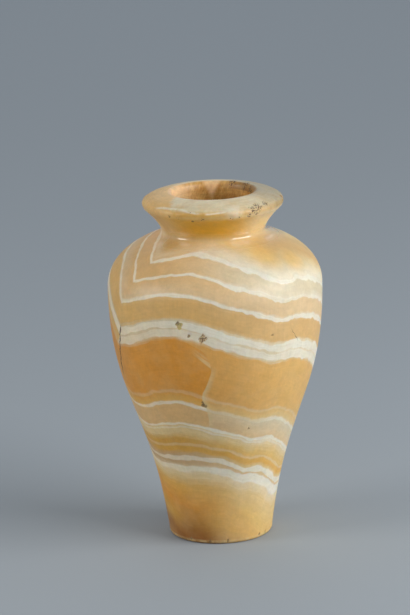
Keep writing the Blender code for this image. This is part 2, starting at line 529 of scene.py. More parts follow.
# %% [markdown]
# ## Turning the jar
#
# The tree turns the section round the axis: a flat grid gets one column for each ring of the section
# and one row for each step round, and every point of it is then sent to its place. The steps are
# closer together at the front, where the marks are small. Then the surface is pressed in a little by
# slow noise, because it was rubbed true by hand, in by more along the worn edge of the lip, and in at
# each mark. All of this goes inwards, so the jar never grows past the measured solid. How deep a
# point was pressed is kept on it, and the finish reads it to put soil in the pits.

# %% Turning the jar
JAR_NUMBERS = {
    "Steps Around": 336,
    "Front Crowding": 0.3,
    "First Inside Ring": len(outer_line),
    "Unevenness": 0.0004,
    "Lip Wear": 0.0005,
    "Lean": LEAN,
    "Girth Height": GIRTH_HEIGHT,
    "Root Height": ROOT_HEIGHT,
}
SEAM = 0.000001

polished = bpy.data.materials.new("polished alabaster")
drilled = bpy.data.materials.new("drilled alabaster")

turning, given, result = open_group(
    "turned jar",
    "GeometryNodeTree",
    {
        "Section": "Geometry",
        "Marks": "Object",
        **JAR_NUMBERS,
        "Polished Stone": "Material",
        "Drilled Stone": "Material",
    },
    {"Jar": "Geometry"},
)


def measured(vector):
    """The X, Y and Z of a vector."""
    return place("ShaderNodeSeparateXYZ", {0: vector}).outputs


def passed(kind, geometry, **fed):
    """Some geometry after one more node, which these inputs feed."""
    return place("GeometryNode" + kind, {"Geometry": geometry, **fed}).outputs[0]


def sampled(geometry, value, index, kind="FLOAT"):
    """A value read from one numbered point of some geometry."""
    fed = {"Geometry": geometry, "Value": value, "Index": index}
    return place("GeometryNodeSampleIndex", fed, data_type=kind).outputs[0]


rings = place("GeometryNodeAttributeDomainSize", {0: given["Section"]}).outputs["Point Count"]
rows = plus(given["Steps Around"], 1.0)
sizes = {"Size X": 1.0, "Size Y": 1.0, "Vertices X": rows, "Vertices Y": rings}
grid = place("GeometryNodeMeshGrid", sizes).outputs["Mesh"]
spot = place("GeometryNodeInputPosition").outputs[0]
across, up, _ = measured(spot)
ring = reckon("ROUND", times(plus(up, 0.5), minus(rings, 1.0)))
section_spot = measured(sampled(given["Section"], spot, ring, "FLOAT_VECTOR"))
even_turn = times(across, 2 * math.pi)
turn = minus(even_turn, times(reckon("SINE", even_turn), given["Front Crowding"]))
to_right = times(section_spot["X"], reckon("SINE", turn))
to_back = times(section_spot["X"], reckon("COSINE", turn), -1.0)
below_root = reckon("MINIMUM", section_spot["Z"], given["Root Height"])
leaning = over(times(given["Lean"], minus(below_root, given["Girth Height"])), given["Root Height"])
turned_spot = point_at(plus(to_right, leaning), to_back, section_spot["Z"])
inside = reckon("GREATER_THAN", ring, minus(given["First Inside Ring"], 0.5))

marked_grid = passed("StoreNamedAttribute", grid, Name="inside", Value=inside)
turned = passed("SetPosition", marked_grid, Position=turned_spot)
closed = passed("MergeByDistance", turned, Distance=SEAM)
tell("turning tree so far")

# %% Wear and marks in the same tree
# How fast each kind of noise changes, in turns for each metre
SLOW = 24.0
QUICK = 90.0
GNAWING = 130.0
SHAKING = 420.0
MARK_SHAKE = 0.0024
# Where the flat foot stops being spared, and where the lip's worn edge begins, in metres
FOOT_SPARED = (0.0004, 0.0050)
WORN_HEIGHTS = (0.2600, 0.2650)
WORN_RADII = (0.047, 0.053)


def kept(name):
    """The number that each point keeps under this name."""
    return place("GeometryNodeInputNamedAttribute", {"Name": name}, data_type="FLOAT").outputs[0]


here = place("GeometryNodeInputPosition").outputs[0]
here_x, here_y, here_z = measured(here)
facing = place("GeometryNodeInputNormal").outputs[0]
above_foot = eased(here_z, *FOOT_SPARED)
slow = times(noise(here, SLOW, 1.0), above_foot)
quick = times(noise(here, QUICK, 2.0), above_foot)
uneven = times(times_plus(quick, 0.3, slow), given["Unevenness"])

from_axis = on_vectors("LENGTH", point_at(here_x, here_y))["Value"]
lip_edge = times(eased(here_z, *WORN_HEIGHTS), eased(from_axis, *WORN_RADII))
gnawed = eased(noise(here, GNAWING, 3.0, 0.6), 0.40, 0.72)
wear = times(lip_edge, gnawed, given["Lip Wear"])

marks_shape = place("GeometryNodeObjectInfo", {0: given["Marks"]}).outputs["Geometry"]
shake = place("ShaderNodeTexNoise", {"Vector": here, "Scale": SHAKING, "Detail": 2.0}).outputs["Color"]
centred = on_vectors("SUBTRACT", shake, (0.5, 0.5, 0.5))[0]
shaken = on_vectors("ADD", here, scaled(centred, MARK_SHAKE))[0]
search = {"Geometry": marks_shape, "Sample Position": shaken}
nearest = place("GeometryNodeSampleNearest", search).outputs[0]
mark_spot = sampled(marks_shape, spot, nearest, "FLOAT_VECTOR")
mark_reach = sampled(marks_shape, kept("reach"), nearest)
mark_depth = sampled(marks_shape, kept("depth"), nearest)
away = on_vectors("DISTANCE", shaken, mark_spot)["Value"]
pressed = eased(over(away, mark_reach), 0.35, 1.0, 1.0, 0.0)

is_inside = kept("inside")
outside = minus(1.0, is_inside)
sink = times(plus(plus(uneven, wear), times(pressed, mark_depth)), outside)
pushed = scaled(facing, times(sink, -1.0))
sunk = passed("StoreNamedAttribute", closed, Name="sunk", Value=times(pressed, outside))
worn = passed("SetPosition", sunk, Offset=pushed)
smooth = passed("SetShadeSmooth", worn)
whole = passed("RealizeInstances", smooth)
coated = passed("SetMaterial", whole, Material=given["Polished Stone"])
bored = reckon("GREATER_THAN", is_inside, 0.6)
lined = passed("SetMaterial", coated, Selection=bored, Material=given["Drilled Stone"])
fill(result["Jar"], lined)
tell("turning tree")

# %% [markdown]
# ## From the tree to one plain mesh
#
# The tree's inputs are set on the modifier by each socket's identifier, before it is first worked
# out. The result is copied to a plain mesh and the line and the marks are thrown away, so that what
# is left is one closed shell with its place in its points.

# %% From the tree to one plain mesh
turned_line = shown("section", section_data)
modifier = turned_line.modifiers.new("turned jar", "NODES")
modifier.node_group = turning
settings = {"Marks": marks, **JAR_NUMBERS, "Polished Stone": polished, "Drilled Stone": drilled}
for item in turning.interface.items_tree:
    if item.in_out == "INPUT" and item.name in settings:
        modifier[item.identifier] = settings[item.name]
graph = bpy.context.evaluated_depsgraph_get()
jar_data = bpy.data.meshes.new_from_object(turned_line.evaluated_get(graph))
turned_line.modifiers.remove(modifier)
for helper in (turned_line, marks):
    bpy.data.objects.remove(helper)

for slot in reversed(range(len(jar_data.materials))):
    if jar_data.materials[slot] is None:
        jar_data.materials.pop(index=slot)
jar_data.name = "vase"
jar = shown("alabaster_vase", jar_data)
triangles = sum(len(face.vertices) - 2 for face in jar_data.polygons)
print("jar:", len(jar_data.vertices), "points,", triangles, "triangles,", len(jar_data.materials), "finishes")

# %% [markdown]
# ## The stone's layers
#
# Calcite of this kind grew in sheets, and the sheets were bent before the block was cut. A picture
# of the bands would break at the seam and smear on the shoulder. Instead one group works out, for
# any point of the stone, how high it lies in the stack of sheets. Two runs of sheets meet at the left,
# like pages folded at a spine: the lower of the two heights wins, and that alone makes the sharp
# zigzags where every band turns up towards the neck. Slow swells round the jar give the bands
# their waves.


# %% One swell of the layers
# The height in mm where a slant doesn't shift a swell
NO_SLANT_HEIGHT = 150.0

swell, given, result = open_group(
    "swell of the layers",
    "ShaderNodeTree",
    dict.fromkeys(("Azimuth", "Height", "Place", "Rise", "Slant"), 0.0) | {"Width": 30.0},
    {"Lift": 0.0},
)
drift = over(minus(given["Height"], NO_SLANT_HEIGHT), 100.0)
middle = times_plus(drift, given["Slant"], given["Place"])
off = reckon("WRAP", minus(given["Azimuth"], middle), 180.0, -180.0)
fill(result["Lift"], times(hump(over(off, given["Width"])), given["Rise"]))
tell("one swell")

# %% The height of a point in the stack of layers
# Place and width in degrees, rise in mm, slant in degrees for each 100 mm of height
SWELLS = [
    ("left flank", -67.1, 28.5, 42.4, -17.2),
    ("front dip", -27.1, -9.6, 29.9, 21.2),
    ("front right", 30.5, 3.7, 10.3, 12.6),
    ("front", 5, 6.1, 34.6, -18.6),
    ("right flank", 103.1, 25.2, 38.2, 26.2),
    ("back right", 168, 9, 24, 14),
    ("back left", -138, -7, 22, -12),
]
MAIN_DIP = (0.246, -0.002, 1)
FOLDED_DIP = (0.761, -0.293, 0.499)
FOLDED_START = 140.1
# The folded run bulges at this height and within this reach, both in mm
BULGE_HEIGHT = 199
BULGE_REACH = 18
BULGE = ("bulge of the folded run", -50, 10.3, 18, 0)
SPINE_ROUND = 1.2
# The swells fade out towards the jar's axis within this many mm
SWELL_FADE = (0, 32)
# How far the three kinds of waver reach, in mm
BROAD_WAVER = 3
SMALL_WAVER = 2.2
CRINKLE = 2.9

layering, given, result = open_group(
    "stack of layers",
    "ShaderNodeTree",
    {"Vector": "Vector"},
    {name: 0.0 for name in ("Layer", "Folded", "Azimuth", "Height", "Off Axis", "Growth Lines", "Fibres")},
)
in_mm = scaled(given["Vector"], 1000)
mm_x, mm_y, mm_z = measured(in_mm)
azimuth = reckon("DEGREES", reckon("ARCTAN2", mm_x, times(mm_y, -1)))
off_axis = reckon("SQRT", times_plus(mm_x, mm_x, times(mm_y, mm_y)))


def swelling(name, swell_place, rise, width, slant):
    """The lift that one swell gives."""
    fed = {"Azimuth": azimuth, "Height": mm_z, "Place": swell_place}
    fed.update({"Rise": rise, "Width": width, "Slant": slant})
    return place("ShaderNodeGroup", fed, node_tree=swell, label=name).outputs["Lift"]


def dipping(dip, start):
    """The height in the stack where the sheets are flat and dip one way."""
    return plus(on_vectors("DOT_PRODUCT", in_mm, dip)["Value"], start)


lift = 0
for numbers in SWELLS:
    lift = plus(swelling(*numbers), lift)
lift = times(lift, eased(off_axis, *SWELL_FADE))
main_run = plus(dipping(MAIN_DIP, 0), lift)
near_bulge = hump(over(minus(mm_z, BULGE_HEIGHT), BULGE_REACH))
folded_run = plus(dipping(FOLDED_DIP, FOLDED_START), times(swelling(*BULGE), near_bulge))
met = reckon("SMOOTH_MIN", main_run, folded_run, SPINE_ROUND)

broad = swing(given["Vector"], 34, 2)
small = swing(given["Vector"], 85, 1)
wavering = times_plus(small, SMALL_WAVER, times(broad, BROAD_WAVER))
crisp_side = times(eased(azimuth, -20, 35, 0.35, 1), eased(azimuth, 130, 178, 1, 0.35))
crinkle = times(swing(given["Vector"], 170, 3, 0.45), CRINKLE, crisp_side)
layer = plus(met, plus(wavering, crinkle))
drawn_out = point_at(layer, times(mm_x, 0.05), times(mm_y, 0.05))
across_sheets = point_at(mm_x, mm_y, times(layer, 0.07))
for name, value in {
    "Layer": layer,
    "Folded": eased(minus(main_run, folded_run), -1, 1),
    "Azimuth": azimuth,
    "Height": mm_z,
    "Off Axis": off_axis,
    "Growth Lines": noise(drawn_out, 0.75, 4, 0.65),
    "Fibres": noise(across_sheets, 0.8, 2),
}.items():
    fill(result[name], value)
tell(f"stack of layers with {len(SWELLS)} swells")

# %% [markdown]
# ## Tones of the layers
#
# Clear calcite lets light in and looks honey brown; cloudy calcite throws it back and looks white.
# The broad layers change slowly from one to the other, so a colour ramp over the height in the stack
# suits them. The white sheets are thin, sharp below and hazy above, and they thicken from left to
# right, which a ramp can't do. So each is a mask of its own, with a width on either side.


# %% Tones
def tone(red, green, blue):
    """A colour as the eye names it, from 0 to 1, turned to the light it sends back."""
    shares = [((value + 0.055) / 1.055) ** 2.4 for value in (red, green, blue)]
    return (*shares, 1)


TONES = {
    "bone": tone(0.90, 0.88, 0.81),
    "warm white": tone(0.93, 0.87, 0.75),
    "cream": tone(0.89, 0.82, 0.68),
    "ash": tone(0.84, 0.79, 0.67),
    "straw": tone(0.87, 0.76, 0.54),
    "beige": tone(0.86, 0.75, 0.58),
    "dun": tone(0.76, 0.63, 0.46),
    "fawn": tone(0.85, 0.69, 0.46),
    "pale honey": tone(0.87, 0.73, 0.45),
    "soft honey": tone(0.83, 0.68, 0.45),
    "honey": tone(0.86, 0.69, 0.41),
    "warm honey": tone(0.86, 0.66, 0.31),
    "deep honey": tone(0.85, 0.58, 0.19),
    "ochre": tone(0.81, 0.61, 0.24),
    "amber": tone(0.88, 0.64, 0.08),
    "brown": tone(0.62, 0.42, 0.18),
    "foot brown": tone(0.56, 0.33, 0.06),
    "tan": tone(0.80, 0.65, 0.41),
}

# Height in the stack in mm, the tone there on the left flank, and the tone on the right flank
BROAD_LAYERS = [
    (4, "brown", "dun"),
    (16, "brown", "dun"),
    (30, "ochre", "honey"),
    (45, "deep honey", "pale honey"),
    (60, "warm honey", "straw"),
    (67, "straw", "cream"),
    (74, "cream", "cream"),
    (77, "dun", "beige"),
    (84, "dun", "straw"),
    (87, "ochre", "warm honey"),
    (95, "ochre", "pale honey"),
    (100, "straw", "straw"),
    (105, "straw", "cream"),
    (109, "fawn", "beige"),
    (121, "fawn", "ash"),
    (125, "warm honey", "straw"),
    (134, "deep honey", "honey"),
    (170, "deep honey", "honey"),
    (173, "beige", "ash"),
    (186, "ash", "cream"),
    (188, "honey", "soft honey"),
    (202, "honey", "soft honey"),
    (206, "beige", "beige"),
    (217, "fawn", "beige"),
    (223, "fawn", "ash"),
    (230, "fawn", "ash"),
    (236, "beige", "cream"),
    (243, "tan", "straw"),
    (250, "soft honey", "soft honey"),
    (262, "pale honey", "straw"),
    (280, "cream", "cream"),
    (300, "cream", "cream"),
]
STACK_TOP = 300

toning, given, result = open_group(
    "tones of the broad layers",
    "ShaderNodeTree",
    {"Layer": 0.0, "Rightward": 0.0},
    {"Colour": "Color"},
)
sides = []
for side in (1, 2):
    ramp = place("ShaderNodeValToRGB", {0: over(given["Layer"], STACK_TOP)})
    while len(ramp.color_ramp.elements) < len(BROAD_LAYERS):
        ramp.color_ramp.elements.new(1)
    for stop, row in zip(ramp.color_ramp.elements, BROAD_LAYERS):
        stop.position = row[0] / STACK_TOP
        stop.color = TONES[row[side]]
    sides.append(ramp.outputs["Color"])
fill(result["Colour"], mixed(given["Rightward"], *sides))
print(len(BROAD_LAYERS), "stops from", len(TONES), "tones")

# %% One white sheet
HAZE_SHARE = 0.6
CORE_FADE = 1

white_sheet, given, result = open_group(
    "white sheet",
    "ShaderNodeTree",
    {
        "Layer": 0.0,
        "Growth": 0.0,
        "Fullness": 1.0,
        "Middle": 0.0,
        "Left Half": 1.0,
        "Right Half": 1.0,
        "Fade Below": 0.5,
        "Left Haze": 1.0,
        "Right Haze": 1.0,
        "Left Strength": 1.0,
        "Right Strength": 1.0,
    },
    {"Mask": 0.0},
)

half, haze, strength = [
    between(given["Growth"], given["Left " + label], given["Right " + label])
    for label in ("Half", "Haze", "Strength")
]
half = times(half, given["Fullness"])
above_middle = minus(given["Layer"], given["Middle"])
from_below = over(plus(above_middle, half), given["Fade Below"])
under_edge = eased(from_below, -1, 0)
past_core = minus(above_middle, half)
core = eased(past_core, 0, CORE_FADE, 1, 0)
hazy = eased(over(past_core, haze), 0, 1, HAZE_SHARE, 0)
fill(result["Mask"], times(under_edge, higher(core, hazy), strength))
tell("white sheet")

# %% All the white sheets
# Middle in the stack, half width left and right, fade below, haze above left and right, strength
# left and right
WHITE_SHEETS = [
    ("lower of the low pair", 73.4, 1, 2.6, 2.4, 1, 1.5, 0.75, 1),
    ("upper of the low pair", 80.9, 1, 1.8, 0.8, 1, 1.6, 0.65, 0.95),
    ("faint line", 91.3, 0.4, 0.5, 1.2, 1.2, 1.5, 0.22, 0.3),
    ("thin line", 106.9, 0.5, 0.8, 0.8, 0.6, 0.8, 0.85, 0.9),
    ("line under it", 104.2, 0.3, 0.5, 0.6, 0.8, 0.8, 0.45, 0.5),
    ("streak over the wavy line", 131.5, 0.5, 0.4, 1.5, 1.5, 1.5, 0.2, 0.22),
    ("thick sheet, low half", 175.9, 2.3, 2.7, 1.2, 0.8, 0.8, 0.65, 0.85),
    ("thick sheet, top half", 182.6, 2.4, 2.9, 0.8, 0.8, 0.8, 0.95, 1),
    ("third line", 204.9, 0.75, 1.1, 1, 1.6, 2.2, 0.95, 0.9),
    ("second line", 219.4, 0.6, 1, 0.8, 1.2, 4.5, 0.95, 0.85),
    ("first line", 232.1, 0.6, 1.1, 0.8, 1.2, 16, 0.95, 0.95),
]
WAVY_LINE = (122.7, 0.6, 0.8, 1.2, 1.4, 1.8)

whitening, given, result = open_group(
    "white sheets",
    "ShaderNodeTree",
    {"Layer": 0.0, "Growth": 0.0, "Fullness": 1.0, "Wavy Line": 0.6},
    {"Mask": 0.0},
)


def sheet_at(name, numbers):
    """One white sheet in the group of all of them, with its numbers set."""
    shared = {key: given[key] for key in ("Layer", "Growth", "Fullness")}
    one = place("ShaderNodeGroup", shared, node_tree=white_sheet, label=name)
    for socket, value in zip(list(one.inputs)[len(shared):], numbers):
        socket.default_value = value
    return one.outputs["Mask"]


wavy_line = sheet_at("wavy line", WAVY_LINE + (1, 1))
strongest = times(wavy_line, given["Wavy Line"])
for name, *numbers in WHITE_SHEETS:
    strongest = higher(sheet_at(name, numbers), strongest)
fill(result["Mask"], strongest)
print(len(WHITE_SHEETS) + 1, "white sheets")

# %% [markdown]
# ## Breaks and soil
#
# A dark crack runs down the left flank and a thin one crosses a white layer on the right. Below the
# thick white layer a break has healed: the stone on its left is deeper in colour than on its right.
# A crack could be a groove in the mesh, but at a few tenths of a millimetre it is finer than the
# mesh, so it is a mask that follows a slanting line with a shake in it. Soil gathers in pits and in
# pores near the mouth, so one group makes speckles anywhere it is allowed to.

# %% One crack
# A crack fades out over this many mm at both ends
END_FADE = 4

crack, given, result = open_group(
    "crack",
    "ShaderNodeTree",
    {"Vector": "Vector"}
    | dict.fromkeys(("Azimuth", "Height", "Place", "Slant", "Bottom", "Top"), 0.0)
    | {"Width": 0.5, "Shake": 1.5},
    {"Mask": 0.0},
)
ragged = swing(given["Vector"], 210, 3, 0.6)
above_bottom = minus(given["Height"], given["Bottom"])
course = times_plus(above_bottom, given["Slant"], given["Place"])
course = times_plus(ragged, given["Shake"], course)
gap = off_from(given["Azimuth"], course)
line_mask = eased(over(gap, given["Width"]), 0.4, 1, 1, 0)
past_bottom = eased(above_bottom, 0, END_FADE)
short_of_top = eased(minus(given["Top"], given["Height"]), 0, END_FADE)
patchy = eased(noise(given["Vector"], 120, 2), 0.30, 0.55, 0.6, 1)
fill(result["Mask"], times(line_mask, past_bottom, short_of_top, patchy))
tell("crack")

# %% Speckles of soil
speckling, given, result = open_group(
    "speckles",
    "ShaderNodeTree",
    {"Vector": "Vector", "Where": 0.0, "Scale": 900.0, "Cover": 0.3},
    {"Mask": 0.0},
)
grains = noise(given["Vector"], given["Scale"], 3, 0.6)
allowed = times_plus(times(given["Where"], given["Cover"]), -1, 0.78)
specks = eased(minus(grains, allowed), 0, 0.06)
fill(result["Mask"], times(specks, given["Where"]))
tell("speckles")

around, given, result = open_group(
    "patch",
    "ShaderNodeTree",
    {"Vector": "Vector", "Centre": "Vector", "Reach": 0.01},
    {"Mask": 0.0},
)
away = on_vectors("DISTANCE", given["Vector"], given["Centre"])["Value"]
fill(result["Mask"], eased(over(away, given["Reach"]), 0.2, 1, 1, 0))
tell("patch")

# %% [markdown]
# ## The polished outside
#
# The outside was rubbed with finer and finer grit until it shone like wax. Light goes a few
# millimetres into it, so the shader gets subsurface scattering, whose strength and depth are plain
# numbers. Only the colour, the shine and the fine relief change over the surface.


# %% The polished outside
def patches(vector, spots):
    """The strongest of several round patches, each given as its centre and its reach in mm."""
    strongest = 0
    for centre, reach in spots:
        fed = {"Vector": vector, "Centre": centre, "Reach": reach / 1000}
        strongest = higher(grouped(around, fed)["Mask"], strongest)
    return strongest


print("painting helper ready")

# %% The clear zone and its healed break
SOIL = tone(0.30, 0.23, 0.15)
CRACK_TONE = tone(0.27, 0.19, 0.12)
PIT_PLAIN = tone(0.57, 0.46, 0.29)
PIT_OLIVE = tone(0.76, 0.66, 0.36)
PIT_TAN = tone(0.84, 0.71, 0.52)
PIT_DARK = tone(0.44, 0.30, 0.13)
BREAK_EDGE = tone(0.86, 0.76, 0.56)
LIP_TAN = tone(0.86, 0.70, 0.44)
LIP_CREAM = tone(0.83, 0.78, 0.65)
LIP_OLIVE = tone(0.80, 0.62, 0.29)
MOUTH_BROWN = tone(0.68, 0.46, 0.17)
MOUTH_TAN = tone(0.83, 0.66, 0.37)
MOUTH_PINK = tone(0.92, 0.77, 0.59)
GOLD = tone(0.93, 0.75, 0.40)
# Where the healed break runs: height in mm and azimuth in degrees
HEALED_COURSE = [(100, -7.7), (114, -7.2), (122, -9.4), (130, -10), (138, -7.4), (144, -5.6)]
HEALED_COURSE += [(154, -3.9), (172, -13)]
# The height in mm and the turn in degrees that the course's curve spans
COURSE_HEIGHT = 300
COURSE_TURN = 100
# The layers where the clear zone begins, is whole, starts to end and has ended
CLEAR_LAYERS = (107, 110, 171, 173.5)
# How many mm the growth lines shift the tones of the broad layers
STREAKING = 6
# The flame is a slanting wisp: its azimuth and height, its slant in mm for each degree, its strength
FLAME_PLACE = (-13, 165)
FLAME_SLANT = -1.2
FLAME_STRENGTH = 0.7


def take_up(finish):
    """Takes a finish in hand, and gives its shader, the place in the stone and the stack there."""
    finish.use_nodes = True
    Bench.tree = finish.node_tree
    spot = place("ShaderNodeTexCoord").outputs["Object"]
    return Bench.tree.nodes["Principled BSDF"], spot, grouped(layering, {"Vector": spot})


shader, spot, stack = take_up(polished)
azimuth, height, layer = stack["Azimuth"], stack["Height"], stack["Layer"]
lines = minus(stack["Growth Lines"], 0.5)
round_back = eased(azimuth, 125, 175, 1, 0)
growth = times(eased(azimuth, -25, 40), round_back)

course = place("ShaderNodeFloatCurve", {"Value": over(height, COURSE_HEIGHT)})
curve = course.mapping.curves[0]
while len(curve.points) < len(HEALED_COURSE):
    curve.points.new(0.5, 0.5)
for point, (at_height, at_azimuth) in zip(curve.points, HEALED_COURSE):
    point.location = (at_height / COURSE_HEIGHT, 0.5 + at_azimuth / COURSE_TURN)
course.mapping.update()
past_break = minus(azimuth, times(minus(course.outputs[0], 0.5), COURSE_TURN))
left_of_break = times(eased(past_break, -0.25, 0.25, 1, 0), eased(azimuth, -160, -100))
in_clear = within(layer, *CLEAR_LAYERS)
# Towards the right the broad layers turn paler, partly as the stone changes and partly as painted light from
# the lamp side
rightward = times(eased(azimuth, -45, 40), round_back)
right_of_break = times(eased(azimuth, -10, 50), round_back)
right_of_break = times(times_plus(right_of_break, 0.5, 0.5), minus(1, left_of_break))
rightward = between(in_clear, rightward, right_of_break)
streaked = times_plus(lines, STREAKING, layer)
colour = grouped(toning, {"Layer": streaked, "Rightward": rightward})["Colour"]

pale_edge = times(
    within(past_break, 0, 0.5, 0.5, 4.5),
    eased(height, 158, 132, 0.25, 0.75),
    eased(height, 156, 151),
    in_clear,
)
colour = mixed(pale_edge, colour, BREAK_EDGE)

flame_foot = times_plus(minus(azimuth, FLAME_PLACE[0]), FLAME_SLANT, FLAME_PLACE[1])
over_flame = minus(height, flame_foot)
flame_streaks = point_at(over_flame, times(azimuth, 0.12))
flame = times(
    eased(noise(flame_streaks, 0.55, 3, 0.6), 0.35, 0.62, 0.15, 1),
    within(over_flame, -1.2, 0.6, 1.5, 9),
    eased(azimuth, -16, -7),
    left_of_break,
    in_clear,
)
colour = mixed(times(flame, FLAME_STRENGTH), colour, BREAK_EDGE)
tell("polished alabaster")

# %% White sheets, neck and shoulder
# The layer where the thick sheet parts, and where its low half is, which the fold leaves brown
PARTING = 179.2
LOW_HALF = (171, 173, 178.4, 179.6)
NECK_HEIGHTS = (240, 252, 260.5, 266)
AMBER_AZIMUTH = -3
FOOT_SHADE_AZIMUTH = -32
GOLD_SPOTS = [(on_skin(37, 234), 19), (on_skin(57, 227), 15)]
GOLD_STRENGTH = 0.55

fullness = eased(noise(spot, 48, 2), 0.3, 0.7, 0.65, 1.4)
wavy = plus(eased(azimuth, -8.5, -7, 0.8, 0.3), eased(azimuth, 22, 42, 0, 0.4))
fed = {"Layer": layer, "Growth": growth, "Fullness": fullness, "Wavy Line": wavy}
white = times(grouped(whitening, fed)["Mask"], eased(lines, -0.22, 0, 0.72, 1))
white = times(white, eased(off_from(layer, PARTING), 0.2, 1, 0.45, 1))
thinned = times(stack["Folded"], within(layer, *LOW_HALF))
colour = mixed(thinned, colour, TONES["honey"])
whiteness = mixed(eased(azimuth, -70, 0), TONES["warm white"], TONES["bone"])
colour = mixed(times(white, minus(1, thinned)), colour, whiteness)

# The amber round the neck is partly the stone's own colour and partly a painted glow of light through the
# thin neck and painted shade under the lip
from_amber = off_from(azimuth, AMBER_AZIMUTH)
lens = times(within(height, *NECK_HEIGHTS), eased(from_amber, 12, 51, 0.92, 0))
colour = mixed(lens, colour, TONES["amber"])
# Painted shadow: the low left of the foot turns to foot brown where the shadow falls
from_shade = off_from(azimuth, FOOT_SHADE_AZIMUTH)
foot_painted_shadow = times(eased(height, 38, 4), eased(from_shade, 6, 36, 0.85, 0))
colour = mixed(foot_painted_shadow, colour, TONES["foot brown"])
colour = mixed(times(patches(spot, GOLD_SPOTS), GOLD_STRENGTH), colour, GOLD)
tell("polished alabaster")

# %% The lip
# The honey end meets the cream at this azimuth on the jar's axis, and further on for each mm out
BORDER_START = -84
BORDER_RUN = 0.78
BORDER_WOBBLE = 12
# The pale line under the lip's crest, partly the worn arris and partly a painted highlight: its lowest height
# in mm, and how far it rises
CREST_HEIGHT = 265.3
CREST_RISE = 7
# A painted highlight: a pale patch for the sheen on the lip's front right, and how strongly it shows
PAINTED_LIP_SHEEN = [(on_skin(17, 269.2), 10)]
PAINTED_SHEEN_STRENGTH = 0.4

on_lip = eased(height, 262, 266.5)
lip_wobble = noise(spot, 90, 4, 0.6)
lip_border = times_plus(stack["Off Axis"], BORDER_RUN, times_plus(lip_wobble, BORDER_WOBBLE, BORDER_START))
left_lip = times(eased(minus(azimuth, lip_border), -4.5, 3.5, 1, 0), eased(azimuth, -140, -105))
lip_colour = mixed(eased(lip_wobble, 0.35, 0.7, 0, 0.35), LIP_CREAM, LIP_OLIVE)
under_crest = times(eased(height, 270.3, 267.3), eased(azimuth, -20, 45, 1, 0.55))
lip_colour = mixed(under_crest, lip_colour, LIP_OLIVE)
lip_colour = mixed(left_lip, lip_colour, LIP_TAN)
lip_rings = point_at(stack["Off Axis"], times(azimuth, 0.06))
lip_shade = eased(noise(lip_rings, 0.8, 3, 0.6), 0.3, 0.7, 0.92, 1.06)
colour = mixed(on_lip, colour, scaled(lip_colour, lip_shade))

crest_height = times_plus(noise(spot, 38, 2), CREST_RISE, CREST_HEIGHT)
crest_wear_and_highlight = times(
    eased(off_from(height, crest_height), 0.2, 1.1, 0.65, 0),
    eased(stack["Off Axis"], 48, 50),
    within(azimuth, -58, -48, 12, 32),
    eased(noise(spot, 110, 2), 0.33, 0.55),
)
painted_sheen = times(patches(spot, PAINTED_LIP_SHEEN), PAINTED_SHEEN_STRENGTH)
colour = mixed(higher(crest_wear_and_highlight, painted_sheen), colour, TONES["bone"])
tell("polished alabaster")


# %% The mouth, the same on both finishes
def mouth_tones(azimuth, height, vector):
    """The stone round the bore: pinkish on the left, brown elsewhere, with a light streak at the back."""
    fan = times_plus(height, 0.10, times(azimuth, 0.16))
    grain = noise(point_at(fan, times(height, 0.12)), 1.1, 4, 0.7)
    colour = mixed(eased(grain, 0.25, 0.75), MOUTH_BROWN, MOUTH_TAN)
    pink_left = within(azimuth, -165, -115, -60, -40)
    colour = mixed(times(pink_left, 0.85), colour, MOUTH_PINK)
    from_back = minus(180, reckon("ABSOLUTE", azimuth))
    light_streak = eased(plus(from_back, minus(270, height)), 3, 12, 0.7, 0)
    colour = mixed(light_streak, colour, MOUTH_PINK)
    blots = eased(noise(vector, 260, 3, 0.6), 0.35, 0.65, 0.92, 1.06)
    return scaled(colour, blots)


in_mouth = times(eased(stack["Off Axis"], 35.4, 33.4), eased(height, 255, 262))
colour = mixed(in_mouth, colour, mouth_tones(azimuth, height, spot))
tell("polished alabaster")

# %% Mottling, painted light and shade, and cracks
# How strongly the fine grain, the growth lines and the fibres across them show
GRAIN = 0.16
LINES = 0.18
FIBRES = 0.11
CRACKS = [
    {"Place": -73.5, "Slant": 0.25, "Bottom": 134, "Top": 181, "Width": 0.85, "Shake": 4},
    {"Place": 49.8, "Slant": -0.5, "Bottom": 165, "Top": 179, "Width": 0.35, "Shake": 3},
]
FAINT_CRACK = 0.6

mottle = noise(spot, 55, 4, 0.6)
colour = mixed(eased(mottle, 0.35, 0.75, 0, 0.15), colour, TONES["beige"])
blotch = eased(noise(spot, 120, 3, 0.6), 0.3, 0.7, 0.95, 1.04)
grainy = times_plus(swing(spot, 420, 3, 0.6), GRAIN, 1)
lined = times_plus(lines, LINES, 1)
fibred = times_plus(minus(stack["Fibres"], 0.5), FIBRES, 1)
colour = scaled(colour, times(blotch, grainy, lined, fibred))

# Painted shade and light: the shoulder's right, the lip's right and the left flank are darkened, and the
# neck's right is lightened, for how the lamps fall on them
right_shoulder_painted_shade = times(within(height, 205, 232, 237, 245), eased(azimuth, 0, 60), round_back)
right_lip_painted_shade = times(on_lip, eased(azimuth, 40, 75), round_back)
right_neck_painted_light = times(within(height, 243, 249, 257, 263), eased(azimuth, 25, 55), round_back)
left_flank_painted_shade = within(height, 120, 150, 225, 240)
left_flank_painted_shade = times(left_flank_painted_shade, eased(azimuth, -48, -72), eased(azimuth, -110, -150, 1, 0))
shade = 1
for zone, lighter in ((right_lip_painted_shade, -0.38), (right_shoulder_painted_shade, -0.13), (right_neck_painted_light, 0.12), (left_flank_painted_shade, -0.1)):
    shade = times_plus(zone, lighter, shade)
colour = scaled(colour, shade)

# Painted highlight: a thin pale line along the foot's edge
foot_edge_painted_highlight = times(within(height, 0.6, 1.6, 2.6, 4), eased(noise(spot, 200, 2), 0.35, 0.6, 0.2, 0.6))
colour = mixed(foot_edge_painted_highlight, colour, TONES["straw"])

left_crack, right_crack = [
    grouped(crack, {"Vector": spot, "Azimuth": azimuth, "Height": height, **numbers})["Mask"]
    for numbers in CRACKS
]
cracked = higher(left_crack, times(right_crack, FAINT_CRACK))
tell("polished alabaster")

